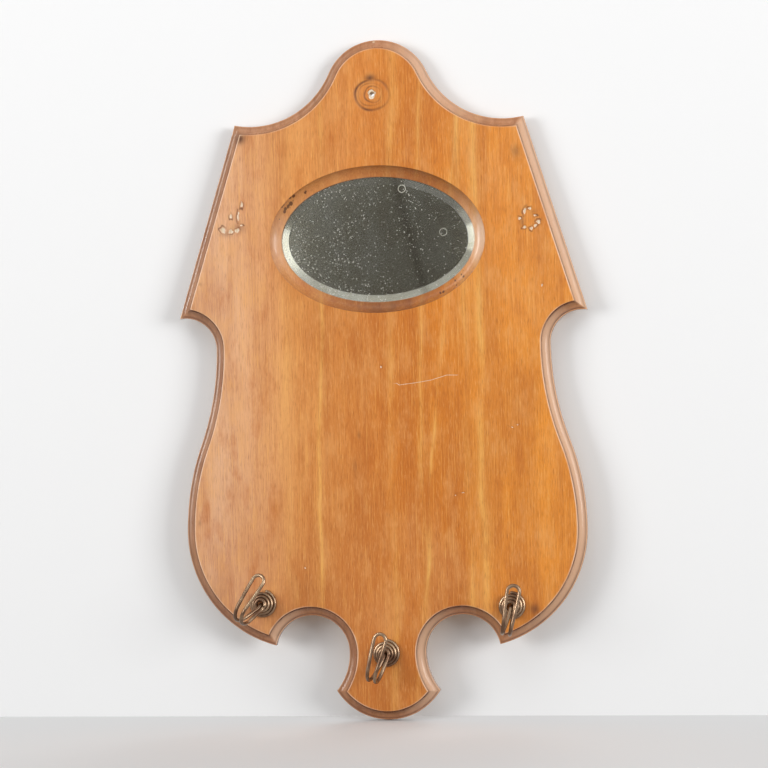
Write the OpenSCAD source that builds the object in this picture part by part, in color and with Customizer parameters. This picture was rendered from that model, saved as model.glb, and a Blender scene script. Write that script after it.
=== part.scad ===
// Wall plaque of stained wood with a small oval mirror and three wire hooks.
// Frame: origin on the wall at the centre of the hanging hole, +Z up, the front faces -Y.
// Pieces are drawn lying on their back, x across, y up the board and z out from the wall,
// and standing() turns them upright.

/* [Board outline] */
// Overall height of the board
board_h = 750; // [730:1:800]
// Thickness of the board
board_t = 19; // [18:0.5:24]
// Radius of the round crest
crest_r = 59.5; // [50:0.5:66]
// Half width at the two upper corners
corner_x = 161; // [150:1:175]
// Drop of the upper corners below the crest
corner_drop = 89; // [84:1:96]
// Radius of the hollow sweep between crest and corner
sweep_r = 95; // [85:1:105]
// Half width at the shoulder tips
tip_x = 227; // [215:1:240]
// Drop of the shoulder tips below the crest
tip_drop = 303; // [290:1:320]
// Half width at the waist
waist_x = 186; // [175:1:196]
// Drop of the waist below the crest
waist_drop = 338; // [332:1:350]
// Half width of the belly
belly_x = 222.5; // [212:0.5:232]
// Height of the belly's widest point above the bottom
belly_rise = 209; // [200:1:225]
// Share of the waist curve that is hollow before it turns full
waist_share = 0.52; // [0.4:0.01:0.6]
// Radius of the belly below its widest point
belly_r = 131; // [122:1:138]
// Distance of each bottom scoop's centre from the centre line
scoop_x = 84; // [81:0.5:88]
// Height of the scoop centres above the bottom
scoop_rise = 74; // [70:1:80]
// Radius of the bottom scoops
scoop_r = 41.5; // [38:0.5:44]
// Radius of the flare from the neck to the tongue tips
flare_r = 66.5; // [60:0.5:75]
// Radius of the tongue's bottom edge
tongue_r = 67.5; // [64:0.5:74]

/* [Edge moulding] */
// Depth of the small step at the face
step_d = 1.2; // [0.6:0.1:2]
// Width of the ledge under that step
ledge_w = 0.8; // [0.4:0.1:1.5]
// Radius of the hollow
edge_cove_r = 8; // [6:0.5:9]
// Width of the lip outside the hollow
edge_lip_w = 1.2; // [0.6:0.1:2.5]

/* [Glue joint] */
// Distance of the joint from the centre line at the waist
joint_x = 71.3; // [60:0.1:76]
// Lean of the joint, its top towards the centre line, in degrees
joint_lean = 1.1; // [0:0.1:2]

/* [Mirror opening] */
// Distance of the mirror's centre to the left of the centre line
mirror_off = 2.5; // [0:0.5:6]
// Drop of the mirror's centre below the crest
mirror_drop = 220.5; // [215:0.5:228]
// Width of the sight opening
sight_w = 215; // [200:1:225]
// Height of the sight opening
sight_h = 138; // [128:1:144]
// Width of the hollow round the opening
hollow_w = 12; // [9:0.5:14]
// Depth of the hollow below the face
hollow_d = 8; // [6:0.5:9]
// Depth of the small step where the hollow meets the face
hollow_step = 1; // [0.5:0.1:2]
// Thickness of the wood left between the hollow and the rebate
sight_lip_t = 2; // [1.5:0.1:2.5]

/* [Mirror and backing] */
// Thickness of the glass
glass_t = 4; // [3:0.1:4.5]
// Overlap of the glass behind the sight edge
glass_lap = 6; // [5:0.5:9]
// Width of the bevel
bevel_w = 14; // [12:0.5:18]
// Depth of the bevel at the glass edge
bevel_d = 1.8; // [1:0.1:2]
// Thickness of the silvering with its paint
silver_t = 0.3; // [0.2:0.05:0.6]
// Thickness of the wooden backing panel
panel_t = 3; // [2:0.1:3.2]
// Gap between the glass edge and the rebate wall
rebate_gap = 0.8; // [0.4:0.1:1.5]
// Gap between the backing panel's edge and the rebate wall
panel_gap = 0.5; // [0.3:0.1:1]
// Gap between the bevel and the lip that it seats against
seat_gap = 0.1; // [0.05:0.05:0.3]

/* [Brads] */
// Number of brads round the backing panel
brad_count = 8; // [6:2:10]
// Diameter of a brad
brad_d = 1.2; // [1:0.1:1.4]
// Length of a brad in the wood
brad_in = 7; // [5:0.5:9]
// Length of a brad over the panel
brad_out = 5; // [4:0.5:7]
// Gap round a brad in its hole
brad_gap = 0.05; // [0.02:0.01:0.1]

/* [Hooks] */
// Diameter of the wire
wire_d = 4; // [3.5:0.1:4.3]
// Radial step from one turn of the rosette to the next
turn_pitch = 3; // [2.6:0.1:3.7]
// Gap between one turn of the rosette and the next
turn_gap = 0.45; // [0.42:0.01:0.8]
// Number of turns in the rosette
turns = 3.25; // [2.25:0.25:4]
// Gap between the straight shank and the first turn
eye_gap = 0.45; // [0.42:0.01:0.8]
// Length of the shank in the wood
shank_in = 14; // [10:0.5:15]
// Gap round the shank in its pilot hole
shank_gap = 0.1; // [0.05:0.05:0.2]
// Radius of the bend from the shank into the arm
neck_r = 6; // [5:0.5:7]
// Dip of the arm below straight out, in degrees
arm_dip = 60; // [50:1:65]
// Length of the straight arm
arm_l = 20; // [16:0.5:24]
// Radius of the hook's bottom bend
bend_r = 15.5; // [12:0.5:17]
// Turn of the bottom bend, in degrees
bend_turn = 150; // [140:1:155]
// Straight length of the two front legs
leg_l = 32; // [26:0.5:38]
// Half distance between the legs at the bottom bend
foot_half = 4.1; // [3.8:0.1:5]
// Radius of the loop at the tip
loop_r = 6.6; // [5.5:0.1:7.5]
// Distance of the outer hooks from the centre line, left one
left_hook_x = 137; // [128:0.5:140]
// Height of the left hook above the bottom
left_hook_rise = 129.5; // [126:0.5:135]
// Distance of the outer hooks from the centre line, right one
right_hook_x = 139; // [132:0.5:143]
// Height of the right hook above the bottom
right_hook_rise = 125; // [120:0.5:130]
// Height of the middle hook above the bottom
middle_hook_rise = 74; // [66:0.5:84]

/* [Hanging hole] */
// Diameter of the hanging hole
hang_d = 5.2; // [4:0.1:7]
// Distance of the hanging hole to the left of the centre line
hang_off = 5; // [0:0.5:10]
// Drop of the hanging hole below the crest
hang_drop = 60.5; // [50:0.5:75]

/* [Hidden] */
$fn = 48;
wood_tone = [0.72, 0.44, 0.22];
wood_tone_dark = [0.66, 0.39, 0.19];
glass_tone = [0.62, 0.72, 0.72, 0.6];
silver_tone = [0.55, 0.57, 0.55];
panel_tone = [0.58, 0.46, 0.32];
iron_tone = [0.35, 0.30, 0.26];
wire_tone = [0.42, 0.35, 0.29];
// Distance that a cut runs past a face
past = 1;

// Heights on the board, from the hanging hole, up positive
crest_y = hang_drop;
bottom_y = hang_drop - board_h;
mirror_y = hang_drop - mirror_drop;

// Centres and radii of the outline's arcs, on the right half, from the bottom up
tongue_c = [0, bottom_y + tongue_r];
scoop_c = [scoop_x, bottom_y + scoop_rise];
flare_c = scoop_c + [flare_r - scoop_r, 0];
belly = [belly_x, bottom_y + belly_rise];
belly_c = belly - [belly_r, 0];
waist = [waist_x, hang_drop - waist_drop];
swell = belly - waist;
swell_r = (swell.x * swell.x + swell.y * swell.y) / (2 * swell.x);
hollow_r = swell_r * waist_share;
full_r = swell_r - hollow_r;
hollow_c = waist + [hollow_r, 0];
full_c = belly - [full_r, 0];
swell_a = asin(-swell.y / swell_r);
tip = [tip_x, hang_drop - tip_drop];
notch = tip - waist;
notch_r = (notch.x * notch.x + notch.y * notch.y) / (2 * notch.x);
notch_c = waist + [notch_r, 0];
corner = [corner_x, hang_drop - corner_drop];
crest_c = [0, crest_y - crest_r];
sweep_c = circles_meet(crest_c, crest_r + sweep_r, corner, sweep_r, 1);
sweep_a = angle_of(sweep_c - crest_c);

// Steps along each arc of the outline
fine = 8;
coarse = 5;

// Depths behind the face at the mirror, from the front to the back
lip_back_z = board_t - hollow_d - sight_lip_t;
bevel_fall = bevel_d * (1 - glass_lap / bevel_w);
glass_front_z = lip_back_z + bevel_fall - seat_gap;
glass_back_z = glass_front_z - glass_t;
silver_back_z = glass_back_z - silver_t;
panel_back_z = silver_back_z - panel_t;
brad_z = panel_back_z - brad_d / 2;

// Rosette of a hook
wire_r = wire_d / 2;
eye_r = wire_d + eye_gap;
sides = 6;
loop_rings = 24;
leg_dip = arm_dip - bend_turn;
// The rosette is a low cone, which climbs enough on each turn to keep its turns apart
turn_rise = sqrt(max((wire_d + turn_gap) * (wire_d + turn_gap) - turn_pitch * turn_pitch, 0));
rosette_h = turns * turn_rise;
// Each hook's place, its turn about the screw, its bend to the left, its bend up
// and the height of its rosette
left_hook = [-left_hook_x, bottom_y + left_hook_rise, -29, 17, 11, rosette_h + 1.3];
middle_hook = [-0.4, bottom_y + middle_hook_rise, -16, 7, -1, rosette_h];
right_hook = [right_hook_x - 0.3, bottom_y + right_hook_rise, -11, -4, 1, rosette_h];
hooks = [left_hook, middle_hook, right_hook];

function angle_of(v) = atan2(v.y, v.x);
function unit(v) = v / norm(v);
function ease(t) = let (k = min(max(t, 0), 1)) k * k * (3 - 2 * k);
function mix(a, b, t) = a + (b - a) * t;

// Point where two circles meet, on the left (side 1) or right (side -1) of the line
// from the first centre to the second
function circles_meet(c0, r0, c1, r1, side) =
    let (
        gap = norm(c1 - c0),
        u = (c1 - c0) / gap,
        along = (r0 * r0 - r1 * r1 + gap * gap) / (2 * gap),
        off = sqrt(max(r0 * r0 - along * along, 0))
    )
    c0 + along * u + side * off * [-u.y, u.x];

// Point where a line through p along u meets a circle, before (side -1) or after (side 1)
// the point of the line that is nearest to its centre
function line_meets(p, u, c, r, side) =
    let (
        near = p + ((c - p) * u) * u,
        off = sqrt(max(r * r - (c - near) * (c - near), 0))
    )
    near + side * off * u;

// Points of an arc from one angle to another, without its last point
function arc(c, r, a0, a1, steps) = [
    for (i = [0:steps - 1])
        let (a = mix(a0, a1, i / steps))
        c + r * [cos(a), sin(a)]
];

// Right half of the outline, moved inwards by inset, from the bottom up to the crest.
// The arcs keep their centres, and the corners are where the moved arcs meet.
function right_half(inset) =
    let (
        side_u = unit(corner - tip),
        side_p = tip + inset * [-side_u.y, side_u.x],
        full = tongue_r - inset,
        flare = flare_r + inset,
        scoop = scoop_r + inset,
        lower = belly_r - inset,
        tongue_tip = circles_meet(tongue_c, full, flare_c, flare, -1),
        cusp = circles_meet(scoop_c, scoop, belly_c, lower, -1),
        shoulder = line_meets(side_p, side_u, notch_c, notch_r + inset, 1),
        upper = line_meets(side_p, side_u, sweep_c, sweep_r + inset, -1)
    )
    concat(
        arc(tongue_c, full, -90, angle_of(tongue_tip - tongue_c), fine),
        arc(flare_c, flare, angle_of(tongue_tip - flare_c) + 360, 180, coarse),
        arc(scoop_c, scoop, 180, angle_of(cusp - scoop_c), 2 * fine),
        arc(belly_c, lower, angle_of(cusp - belly_c), 0, fine + coarse),
        arc(full_c, full_r - inset, 0, swell_a, coarse),
        arc(hollow_c, hollow_r + inset, 180 + swell_a, 180, coarse),
        arc(notch_c, notch_r + inset, 180, angle_of(shoulder - notch_c), fine),
        [shoulder],
        arc(sweep_c, sweep_r + inset, angle_of(upper - sweep_c) + 360, 180 + sweep_a, fine),
        arc(crest_c, crest_r - inset, sweep_a, 90, fine)
    );

// Whole outline about the centre line, counter-clockwise, which lies hang_off to the right
// of the hanging hole
function outline(inset) =
    let (
        half = right_half(inset),
        last = len(half) - 1
    )
    [
        for (p = half) p + [hang_off, 0],
        [hang_off, crest_y - inset],
        for (i = [last:-1:1]) [hang_off - half[i].x, half[i].y]
    ];

// Oval of the sight opening grown by grow all round, counter-clockwise
oval_steps = 80;
function oval(grow) = [
    for (i = [0:oval_steps - 1])
        let (
            a = 360 * i / oval_steps,
            p = [sight_w / 2 * cos(a), sight_h / 2 * sin(a)],
            n = unit([sight_h / 2 * cos(a), sight_w / 2 * sin(a)])
        )
        [hang_off - mirror_off, mirror_y] + p + grow * n
];

// Inset and height of each line of the moulded edge: up its side, in over the lip, up the
// hollow to the ledge under the face, and down inside the board, keyed into its core
cove_steps = 5;
edge_lip_z = board_t - step_d - edge_cove_r;
face_in = edge_lip_w + edge_cove_r + ledge_w;
edge_key = 2;
edge_lines = [
    [0, 0],
    [0, edge_lip_z],
    for (i = [0:cove_steps])
        let (a = 90 * i / cove_steps)
        [edge_lip_w + edge_cove_r * sin(a), edge_lip_z + edge_cove_r * (1 - cos(a))],
    [face_in, board_t - step_d],
    [face_in + edge_key, board_t / 2],
    [face_in, 0]
];

// Growth and height of each line of the mirror opening, from the back to the front.
// The hollow is a circular arc that lies flat where it reaches the sight edge.
hollow_fall = hollow_d - hollow_step;
opening_r = (hollow_w * hollow_w + hollow_fall * hollow_fall) / (2 * hollow_fall);
opening_a = asin(hollow_w / opening_r);
opening_lines = [
    [glass_lap + rebate_gap, -past],
    [glass_lap + rebate_gap, lip_back_z],
    [0, lip_back_z],
    for (i = [0:cove_steps])
        let (a = opening_a * i / cove_steps)
        [opening_r * sin(a), board_t - hollow_d + opening_r * (1 - cos(a))],
    [hollow_w, board_t + past]
];

// Faces between rings of n points, from one ring to the next
function walls(n, rings, closed) = [
    for (k = [0:rings - (closed ? 1 : 2)], i = [0:n - 1])
        let (
            j = (i + 1) % n,
            low = k * n,
            high = (k + 1) % rings * n
        )
        each [[low + i, high + i, high + j], [low + i, high + j, low + j]]
];

// Solid through rings of equally many points, with its two ends closed
module loft(rings) {
    n = len(rings[0]);
    m = len(rings);
    first = [for (i = [0:n - 1]) i];
    last = [for (i = [n - 1:-1:0]) (m - 1) * n + i];
    polyhedron([for (ring = rings) each ring], concat([first, last], walls(n, m, false)), convexity = 10);
}

// Solid through rings that lead back to the first one
module frame(rings) {
    polyhedron([for (ring = rings) each ring], walls(len(rings[0]), len(rings), true), convexity = 10);
}

// Ring of plane points lifted to a height
function lift(points, z) = [for (p = points) [p.x, p.y, z]];

// Solid between two ovals of the mirror's shape
module oval_plate(grow, z0, z1) {
    loft([lift(oval(grow), z0), lift(oval(grow), z1)]);
}

module standing() {
    rotate([90, 0, 0])
        children();
}

// Board with its moulded edge, before it is cut
module moulded_board() {
    linear_extrude(board_t)
        polygon(outline(face_in));
    frame([for (line = edge_lines) lift(outline(line[0]), line[1])]);
}

// Space of the mirror opening: rebate, sight edge and hollow
module mirror_opening() {
    loft([for (line = opening_lines) lift(oval(line[0]), line[1])]);
}

// Places each brad along the rebate wall, pointing outwards
module at_brads() {
    for (i = [0:brad_count - 1]) {
        a = 360 * (i + 0.5) / brad_count;
        p = [sight_w / 2 * cos(a), sight_h / 2 * sin(a)];
        n = unit([sight_h / 2 * cos(a), sight_w / 2 * sin(a)]);
        wall = p + (glass_lap + rebate_gap) * n;
        translate([hang_off - mirror_off + wall.x, mirror_y + wall.y, brad_z])
            rotate([0, 0, angle_of(n)])
                rotate([0, 90, 0])
                    children();
    }
}

// Half of the board plane to the left (side -1) or right (side 1) of the glue joint
module joint_side(side) {
    reach = board_h;
    translate([hang_off - joint_x, waist.y, -past])
        rotate([0, 0, -joint_lean])
            translate([side < 0 ? -reach : 0, -reach, 0])
                cube([reach, 2 * reach, board_t + 2 * past]);
}

module plank(side) {
    difference() {
        intersection() {
            moulded_board();
            joint_side(side);
        }
        mirror_opening();
        at_brads()
            translate([0, 0, -past])
                cylinder(d = brad_d + 2 * brad_gap, h = brad_in + brad_gap + past);
        translate([0, 0, -past])
            cylinder(d = hang_d, h = board_t + 2 * past);
        for (h = hooks)
            translate([hang_off + h[0], h[1], board_t - shank_in - shank_gap])
                cylinder(d = wire_d + 2 * shank_gap, h = shank_in + shank_gap + past);
    }
}

// Length of the hook's arm, bottom bend and legs, one after the other
bend_l = bend_r * bend_turn * PI / 180;
run_l = arm_l + bend_l + leg_l;

// Point [out, up] on the hook's run, at a distance s from the start of the arm
function run_point(s) =
    let (
        t_bend = min(max(s - arm_l, 0), bend_l),
        t_leg = max(s - arm_l - bend_l, 0),
        a = -arm_dip + t_bend / bend_r * 180 / PI,
        arm = min(s, arm_l) * [cos(arm_dip), -sin(arm_dip)],
        bend = bend_r * [sin(a) + sin(arm_dip), cos(arm_dip) - cos(a)]
    )
    arm + bend + t_leg * [cos(leg_dip), -sin(leg_dip)];

// Distances of the rings along the run
run_steps = [
    0,
    arm_l / 3,
    arm_l * 2 / 3,
    for (i = [0:9]) arm_l + bend_l * i / 9,
    arm_l + bend_l + leg_l / 3,
    arm_l + bend_l + leg_l * 2 / 3
];

// Middle of the two strands and half their distance, at a distance s along the run
function strand_mid(s) = mix(eye_r / 2, 0, ease(s / (arm_l + bend_l / 2)));
function strand_half(s) =
    mix(
        mix(eye_r / 2, foot_half, ease(s / (arm_l + bend_l / 2))),
        loop_r,
        ease((s - arm_l - bend_l / 2) / (bend_l / 2 + leg_l))
    );

// Bends the hook's free part to the left and up, more and more away from the rosette
function bent(p, start, left, up) =
    let (
        v = p - start,
        w = ease(norm(v) / (2 * neck_r)),
        a = up * w,
        b = left * w,
        q = [v.x, v.y * cos(a) + v.z * sin(a), v.z * cos(a) - v.y * sin(a)]
    )
    start + [q.x * cos(b) - q.z * sin(b), q.y, q.z * cos(b) + q.x * sin(b)];

// Centre line of one hook's wire: up the shank, out along one strand, round the loop at
// the tip, back along the other strand, and round the rosette down to the board.
// The board's face is at z = 0 and the screw's axis is x = y = 0.
function wire_path(left, up, rise) =
    let (
        eye = [0, 0, wire_r + rise],
        neck_drop = neck_r * (1 - cos(arm_dip)),
        neck_out = neck_r * sin(arm_dip),
        arm_z = eye.z + neck_drop / tan((90 + arm_dip) / 2),
        neck_z = arm_z - neck_out,
        shank = [[0, 0, -shank_in], [0, 0, mix(-shank_in, neck_z, 0.5)], [0, 0, neck_z]],
        neck = [
            for (i = [1:4])
                let (a = arm_dip * i / 5)
                [0, -neck_r * (1 - cos(a)), neck_z + neck_r * sin(a)]
        ],
        strand = [
            for (side = [-1, 1])
                [
                    for (s = run_steps)
                        let (q = run_point(s))
                        [
                            strand_mid(s) + side * strand_half(s),
                            q[1] - neck_drop,
                            arm_z + q[0]
                        ]
                ]
        ],
        top = run_point(run_l),
        tip_loop = [
            for (i = [0:8])
                let (a = 180 - 180 * i / 8)
                [
                    loop_r * cos(a),
                    top[1] - neck_drop - loop_r * sin(a) * sin(leg_dip),
                    arm_z + top[0] + loop_r * sin(a) * cos(leg_dip)
                ]
        ],
        back = [for (i = [len(run_steps) - 1:-1:1]) strand[1][i]],
        free = concat(neck, strand[0], tip_loop, back),
        rings = turns * loop_rings,
        rosette = [
            for (i = [0:rings])
                let (
                    a = 360 * i / loop_rings,
                    r = eye_r + turn_pitch * i / loop_rings,
                    z = wire_r + rise * (1 - i / rings)
                )
                [r * cos(a), r * sin(a), z]
        ],
        last_a = 360 * turns,
        end = rosette[rings] + wire_d * [-sin(last_a), cos(last_a), 0]
    )
    concat(shank, [for (p = free) bent(p, eye, left, up)], rosette, [end]);

// Directions along a path, one for each point
function directions(path) =
    let (last = len(path) - 1)
    [for (i = [0:last]) unit(path[min(i + 1, last)] - path[max(i - 1, 0)])];

// Rings of a round wire along a path, each turned as little as possible from the one before
function wire_rings(path, r) =
    let (
        along = directions(path),
        across = [
            for (i = 0, u = [1, 0, 0];
                i < len(path);
                i = i + 1,
                u = i < len(path) ? unit(u - (u * along[i]) * along[i]) : u)
                u
        ]
    )
    [
        for (i = [0:len(path) - 1])
            let (
                u = across[i],
                v = cross(along[i], u)
            )
            [for (k = [0:sides - 1]) path[i] + r * (cos(360 * k / sides) * u + sin(360 * k / sides) * v)]
    ];

// Least gap of a wire to itself, between points that lie more than skip apart along it
function least_gap(path, skip) =
    min([
        for (i = [0:len(path) - 1], j = [i + 1:len(path) - 1])
            let (
                far = norm(path[j] - path[i]),
                mid = path[floor((i + j) / 2)],
                round_trip = norm(mid - path[i]) + norm(path[j] - mid)
            )
            if (j - i > skip && round_trip > 3 * wire_d) far
    ]) - wire_d;

module hook(h) {
    path = wire_path(h[3], h[4], h[5]);
    echo(least_gap_of_wire_to_itself = least_gap(path, 5));
    translate([hang_off + h[0], h[1], board_t])
        rotate([0, 0, h[2]])
            loft(wire_rings(path, wire_r));
}

// Smaller plank, to the left of the glue joint
module plank_left() {
    color(wood_tone_dark)
        standing()
            plank(-1);
}

// Larger plank, to the right of the glue joint
module plank_right() {
    color(wood_tone)
        standing()
            plank(1);
}

// Oval glass with a bevel on its front
module mirror_glass() {
    color(glass_tone)
        standing()
            loft([
                lift(oval(glass_lap), glass_back_z),
                lift(oval(glass_lap), glass_front_z - bevel_d),
                lift(oval(glass_lap - bevel_w), glass_front_z)
            ]);
}

// Silver and paint on the back of the glass
module mirror_silvering() {
    color(silver_tone)
        standing()
            oval_plate(glass_lap, silver_back_z, glass_back_z);
}

// Thin wooden panel in the rebate behind the mirror
module backing_panel() {
    color(panel_tone)
        standing()
            oval_plate(glass_lap + rebate_gap - panel_gap, panel_back_z, silver_back_z);
}

// Headless brads driven into the rebate wall over the panel's back
module backing_brads() {
    color(iron_tone)
        standing()
            at_brads()
                translate([0, 0, -brad_out])
                    cylinder(d = brad_d, h = brad_out + brad_in);
}

module hook_left() {
    color(wire_tone)
        standing()
            hook(left_hook);
}

module hook_middle() {
    color(wire_tone)
        standing()
            hook(middle_hook);
}

module hook_right() {
    color(wire_tone)
        standing()
            hook(right_hook);
}

plank_left();
plank_right();
mirror_glass();
mirror_silvering();
backing_panel();
backing_brads();
hook_left();
hook_middle();
hook_right();
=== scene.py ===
# Looks of the wall plaque with its oval mirror and three wire hooks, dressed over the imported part.
# Lengths are millimetres on the board as it lies on its back: x across, y up the board and
# z out from the wall, all from the hanging hole. place() turns them into the part's metres.
import random
from functools import partialmethod
from math import asin, atan2, cos, exp, hypot, pi, radians, sin, sqrt, tan

import bmesh
import bpy
from mathutils import Matrix, Vector
from mathutils.geometry import delaunay_2d_cdt

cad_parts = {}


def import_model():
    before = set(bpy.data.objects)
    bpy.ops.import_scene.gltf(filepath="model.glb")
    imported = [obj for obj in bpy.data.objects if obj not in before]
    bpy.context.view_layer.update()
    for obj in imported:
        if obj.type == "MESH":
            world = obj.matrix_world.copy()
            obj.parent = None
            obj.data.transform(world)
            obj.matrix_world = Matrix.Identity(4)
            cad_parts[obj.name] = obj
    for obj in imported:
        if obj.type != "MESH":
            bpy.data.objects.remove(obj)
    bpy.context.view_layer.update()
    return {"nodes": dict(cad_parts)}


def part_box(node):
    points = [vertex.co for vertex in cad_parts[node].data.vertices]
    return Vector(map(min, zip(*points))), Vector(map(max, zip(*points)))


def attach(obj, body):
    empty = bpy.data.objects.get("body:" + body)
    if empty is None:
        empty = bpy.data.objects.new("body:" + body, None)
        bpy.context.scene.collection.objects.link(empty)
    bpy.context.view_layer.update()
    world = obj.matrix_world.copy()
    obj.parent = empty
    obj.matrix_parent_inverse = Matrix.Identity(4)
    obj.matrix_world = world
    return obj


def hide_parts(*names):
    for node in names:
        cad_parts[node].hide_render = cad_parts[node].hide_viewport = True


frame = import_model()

MM = 0.001
rng = random.Random(4063)


def vec(*parts):
    return Vector(parts)


def corners_mm(*names):
    """Lowest and highest x, y, z of CAD nodes on the board lying on its back."""
    boxes = [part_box(name) for name in names]
    low = [min(b[0][i] for b in boxes) / MM for i in range(3)]
    high = [max(b[1][i] for b in boxes) / MM for i in range(3)]
    return vec(low[0], low[2], -high[1]), vec(high[0], high[2], -low[1])


# ---- Sizes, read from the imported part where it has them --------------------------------

BOARD_LOW, BOARD_HIGH = corners_mm("plank_left", "plank_right")
GLASS_LOW, GLASS_HIGH = corners_mm("mirror_glass")
SILVER_LOW, SILVER_HIGH = corners_mm("mirror_silvering")
BOARD_T = BOARD_HIGH.z
CREST_Y = BOARD_HIGH.y
BOTTOM_Y = BOARD_LOW.y
CENTRE_X = (BOARD_LOW.x + BOARD_HIGH.x) / 2
MIRROR_X = (GLASS_LOW.x + GLASS_HIGH.x) / 2
MIRROR_Y = (GLASS_LOW.y + GLASS_HIGH.y) / 2
# Lap of the glass behind the edge of the opening, and the opening's half width and height
GLASS_LAP = 6
SIGHT_A = (GLASS_HIGH.x - GLASS_LOW.x) / 2 - GLASS_LAP
SIGHT_B = (GLASS_HIGH.y - GLASS_LOW.y) / 2 - GLASS_LAP

# Arcs of the outline, as on the part
CREST_R = 59.5
CORNER = vec(161, CREST_Y - 89)
SWEEP_R = 95
TIP = vec(227, CREST_Y - 303)
WAIST = vec(186, CREST_Y - 338)
BELLY = vec(222.5, BOTTOM_Y + 209)
WAIST_SHARE = 0.52
BELLY_R = 131
SCOOP_C = vec(84, BOTTOM_Y + 74)
SCOOP_R = 41.5
FLARE_R = 66.5
TONGUE_R = 67.5

# Moulded edge: a narrow lip, the cove over it, and the ledge at the foot of the face
LIP_W = 1.2
COVE_R = 8
COVE_STEPS = 10
LEDGE_W = 0.8
STEP_D = 1.2
LEDGE_Z = BOARD_T - STEP_D
LIP_Z = LEDGE_Z - COVE_R
FACE_IN = LIP_W + COVE_R + LEDGE_W
# Rounding of the arrises, and width of the face's rim that is rubbed and has a painted highlight
ARRIS = 0.45
FACE_RIM_W = 1.5

# Mirror opening: the hollow with the small step at its outer edge, the lip in front of the
# glass, the play round the glass, and the bevel
HOLLOW_W = 12
HOLLOW_D = 8
HOLLOW_EDGE = 1
HOLLOW_STEPS = 12
SIGHT_LIP_T = 2
REBATE_GAP = 0.8
BEVEL_W = 14
BEVEL_D = 1.8
OVAL_STEPS = 240

# Glue joint: distance left of the centre line at waist height, and lean
JOINT_X = 71.3
JOINT_LEAN = radians(1.1)

# Hanging hole, with the depths of its chipped mouth and of the raw wood below that
HOLE_R = 2.6
HOLE_STEPS = 72
MOUTH_D = 1.1
RAW_D = 2.5

# Wire of the hooks, and the turns of its rosette
WIRE_R = 2
WIRE_SIDES = 18
EYE_R = 4.45
TURN_PITCH = 3
TURN_GAP = 0.45
TURNS = 3.25
ROSETTE_H = TURNS * sqrt((2 * WIRE_R + TURN_GAP) ** 2 - TURN_PITCH**2)
# Run of a hook: shank, neck, arm that dips, bend, leg up to the loop at the tip, and half
# the distance between the strands at the foot
SHANK_IN = 14
NECK_R = 6
ARM_DIP = radians(60)
ARM_L = 20
BEND_R = 15.5
BEND_TURN = radians(150)
LEG_L = 32
FOOT_HALF = 4.1
LOOP_R = 6.6
# Place from the centre line, turn about the screw, bends to the left and up, in degrees,
# and height of the rosette
HOOKS = {
    "hook_left": (-137, BOTTOM_Y + 129.5, -29, 17, 11, ROSETTE_H + 1.3),
    "hook_middle": (-0.4, BOTTOM_Y + 74, -16, 7, -1, ROSETTE_H),
    "hook_right": (138.7, BOTTOM_Y + 125, -11, -4, 1, ROSETTE_H),
}


def place(x, y, z):
    """Metres in the part's frame from millimetres on the board."""
    return vec(x * MM, -z * MM, y * MM)


def mix(a, b, t):
    return a + (b - a) * t


def ease(t):
    """0 to 1 with a soft start and end."""
    k = min(max(t, 0), 1)
    return k * k * (3 - 2 * k)


def bell(distance, width):
    """1 at distance 0, fading to nothing at about twice the width."""
    return exp(-((distance / width) ** 2))


# ---- Outline ---------------------------------------------------------------------------

# Steps along the longer and the shorter arcs
FINE = 26
COARSE = 16


def angle_of(v):
    return atan2(v.y, v.x)


def circles_meet(c0, r0, c1, r1, side):
    """Where two circles cross, left (1) or right (-1) of the way from c0 to c1."""
    gap = (c1 - c0).length
    u = (c1 - c0) / gap
    along = (r0 * r0 - r1 * r1 + gap * gap) / (2 * gap)
    off = sqrt(max(r0 * r0 - along * along, 0))
    return c0 + along * u + side * off * vec(-u.y, u.x)


def line_meets(p, u, c, r, side):
    """Where a line through p along u leaves (1) or enters (-1) a circle."""
    near = p + (c - p).dot(u) * u
    off = sqrt(max(r * r - (c - near).length_squared, 0))
    return near + side * off * u


def arc(c, r, a0, a1, steps):
    """Points of an arc, without its last one."""
    angles = [mix(a0, a1, i / steps) for i in range(steps)]
    return [c + r * vec(cos(a), sin(a)) for a in angles]


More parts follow.
